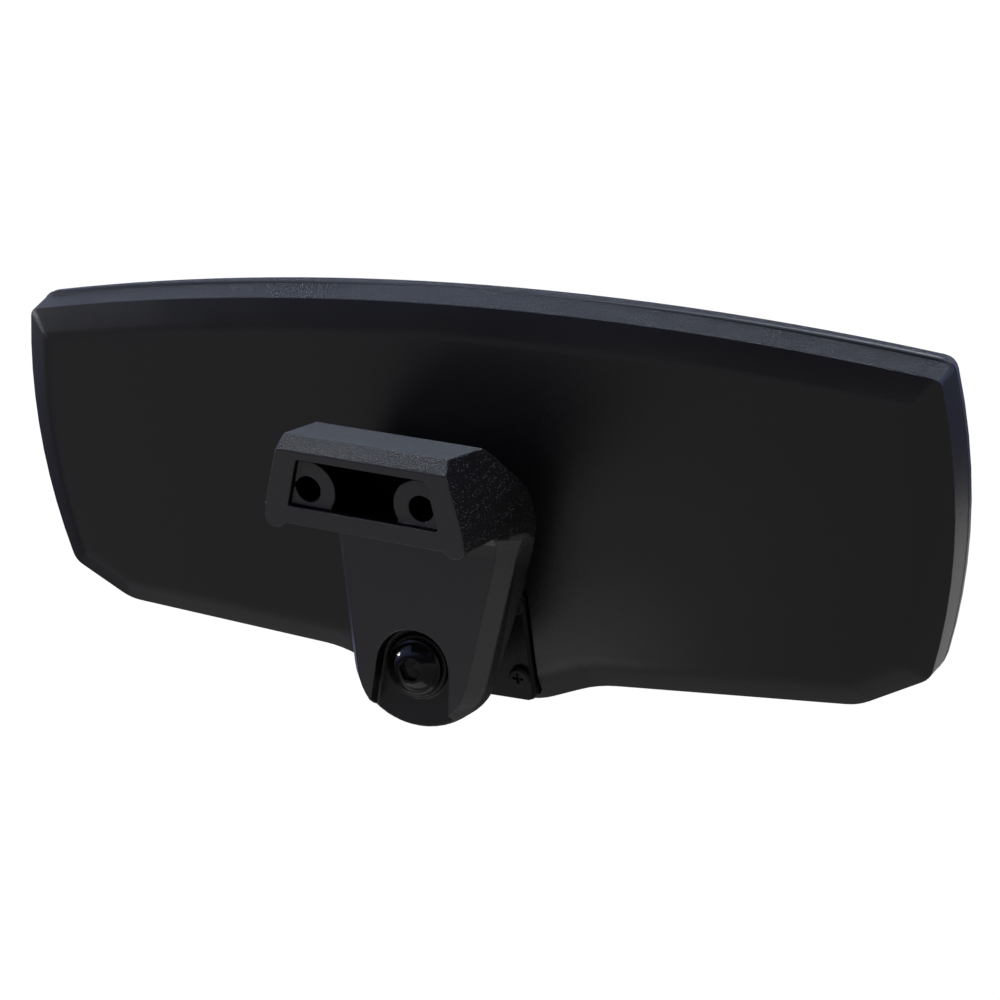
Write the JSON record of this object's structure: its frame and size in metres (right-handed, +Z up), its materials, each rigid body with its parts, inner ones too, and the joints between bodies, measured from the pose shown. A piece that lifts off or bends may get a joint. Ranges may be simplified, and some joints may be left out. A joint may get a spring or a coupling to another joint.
{
  "type": "interior rearview mirror",
  "caption": "Wide interior rearview mirror with a ball joint behind its rear shell and a short arm that screws to the cab by its mounting face.",
  "frame": {"origin": "on the bracket's mounting face, in the middle of its lower rim", "axes": "+Y points out of the mounting face, +Z is up, and the mirror glass looks along -Y"},
  "size_m": [0.2471, 0.0646, 0.1089],
  "materials": {
    "bracket_plastic": "fine grained, glass-filled",
    "shell_plastic": "fine grained",
    "black_steel": "glossy black",
    "zinc_steel": "zinc plated",
    "nylon": "natural nylon",
    "silvered_glass": "first-surface silver behind clear glass",
    "tray_plastic": "plain moulded",
    "foam": "closed-cell foam"
  },
  "bodies": {
    "bracket": {"mount_bracket": "bracket_plastic", "pivot_bolt": "black_steel", "lock_washer": "zinc_steel", "flat_washer": "zinc_steel", "ball_stud": "zinc_steel"},
    "liner": {"ball_liner": "nylon"},
    "cup": {"ball_cup": "nylon"},
    "head": {"joint_housing": "shell_plastic", "cup_spring": "zinc_steel", "retainer_plate": "zinc_steel", "rear_shell": "shell_plastic", "front_bezel": "shell_plastic", "mirror_glass": "silvered_glass", "glass_carrier": "tray_plastic", "foam_pad_left": "foam", "foam_pad_right": "foam", "housing_screw_upper_left": "black_steel", "housing_screw_upper_right": "black_steel", "housing_screw_lower_left": "black_steel", "housing_screw_lower_right": "black_steel"}
  },
  "joints": [
    {"name": "head_roll", "type": "hinge", "parent": "bracket", "child": "liner", "pos_m": [0, -0.04623, -0.05216], "axis": [0, 0.9759, 0.2181], "range_deg": [-8, 8]},
    {"name": "head_swivel", "type": "hinge", "parent": "liner", "child": "cup", "pos_m": [0, -0.04623, -0.05216], "axis": [0, 0, 1], "range_deg": [-6, 6]},
    {"name": "head_tilt", "type": "hinge", "parent": "cup", "child": "head", "pos_m": [0, -0.04623, -0.05216], "axis": [1, 0, 0], "range_deg": [-5, 12]}
  ]
}
